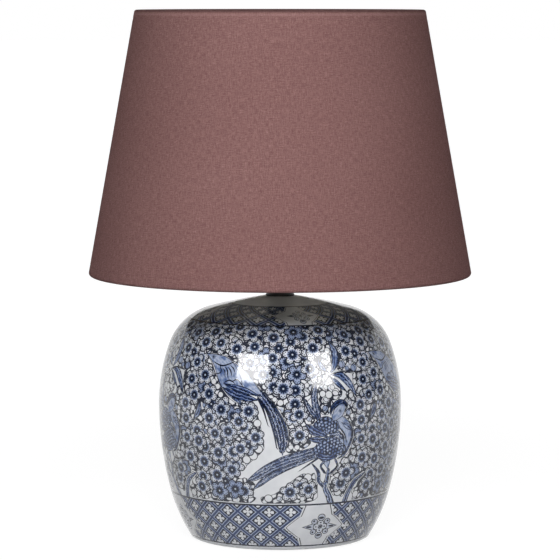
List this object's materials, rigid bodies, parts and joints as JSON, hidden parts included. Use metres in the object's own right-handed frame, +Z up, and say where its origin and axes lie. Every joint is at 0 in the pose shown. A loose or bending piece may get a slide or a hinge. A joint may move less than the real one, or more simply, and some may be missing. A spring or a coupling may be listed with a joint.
{
  "type": "table lamp",
  "caption": "Table lamp: rounded porcelain jar with blue and white glaze, metal neck, screw lampholder and a tapered drum shade.",
  "frame": {"origin": "on the table surface, on the axis of the jar", "axes": "+Z up along the axis of the jar, +Y towards the back, where the cord inlet is"},
  "size_m": [0.36, 0.36, 0.4976],
  "materials": {
    "jar_glaze": "glossy glaze over blue painted pattern",
    "foot_pad": "pressed felt",
    "black_rubber": "moulded",
    "zinc_steel": "zinc plated",
    "neck_metal": "satin black",
    "holder_plastic": "moulded thermoset",
    "holder_ceramic": "unglazed",
    "contact_brass": "stamped",
    "bulb_cap_metal": "rolled thread",
    "bulb_insulator": "moulded",
    "bulb_white": "moulded",
    "bulb_opal": "opal diffuser",
    "shade_cloth": "fine plain weave",
    "shade_lining": "matt white lining",
    "wire_white": "powder coated"
  },
  "bodies": {
    "base": {"jar_body": "jar_glaze", "base_pad": "foot_pad", "cord_grommet": "black_rubber", "base_rubber_washer": "black_rubber", "base_steel_washer": "zinc_steel", "base_lock_nut": "zinc_steel", "threaded_rod": "zinc_steel", "neck_gasket": "black_rubber", "neck_tube": "neck_metal", "neck_cap": "neck_metal", "neck_lock_nut": "zinc_steel", "lampholder_cap": "holder_plastic", "holder_grub_screw": "zinc_steel", "lampholder_insert": "holder_ceramic", "terminal_screws": "contact_brass", "side_contact": "contact_brass", "socket_screw_shell": "contact_brass", "lampholder_shell": "holder_plastic"},
    "shade": {"shade_fabric": "shade_cloth", "shade_liner": "shade_lining", "shade_top_ring": "wire_white", "shade_bottom_ring": "wire_white", "shade_spider_arms": "wire_white", "shade_fitter_ring": "wire_white"},
    "clamp_ring": {"shade_clamp_ring": "holder_plastic"},
    "contact": {"centre_contact": "contact_brass"},
    "bulb_tip": {"bulb_tip_contact": "bulb_cap_metal"},
    "bulb": {"bulb_insulator": "bulb_insulator", "bulb_screw_cap": "bulb_cap_metal", "bulb_housing": "bulb_white", "bulb_led_plate": "bulb_cap_metal", "bulb_globe": "bulb_opal"}
  },
  "joints": [
    {"name": "shade_turn", "type": "hinge", "parent": "base", "child": "shade", "pos_m": [0, 0, 0.2839], "axis": [0, 0, 1], "continuous": true},
    {"name": "clamp_ring_travel", "type": "slide", "parent": "base", "child": "clamp_ring", "axis": [0, 0, 1], "range_m": [0, 0.024]},
    {"name": "contact_press", "type": "slide", "parent": "base", "child": "contact", "axis": [0, 0, 1], "range_m": [-0.0012, 0], "stiffness_N_per_m": 1500},
    {"name": "bulb_lift", "type": "slide", "parent": "base", "child": "bulb_tip", "axis": [0, 0, 1], "range_m": [0, 0.0182]},
    {"name": "bulb_turn", "type": "hinge", "parent": "bulb_tip", "child": "bulb", "pos_m": [0, 0, 0.2889], "axis": [0, 0, 1], "range_deg": [0, 1800]}
  ],
  "couplings": [
    {"joint": "bulb_lift", "follows": "bulb_turn", "m_per_rad": 0.00057614}
  ]
}
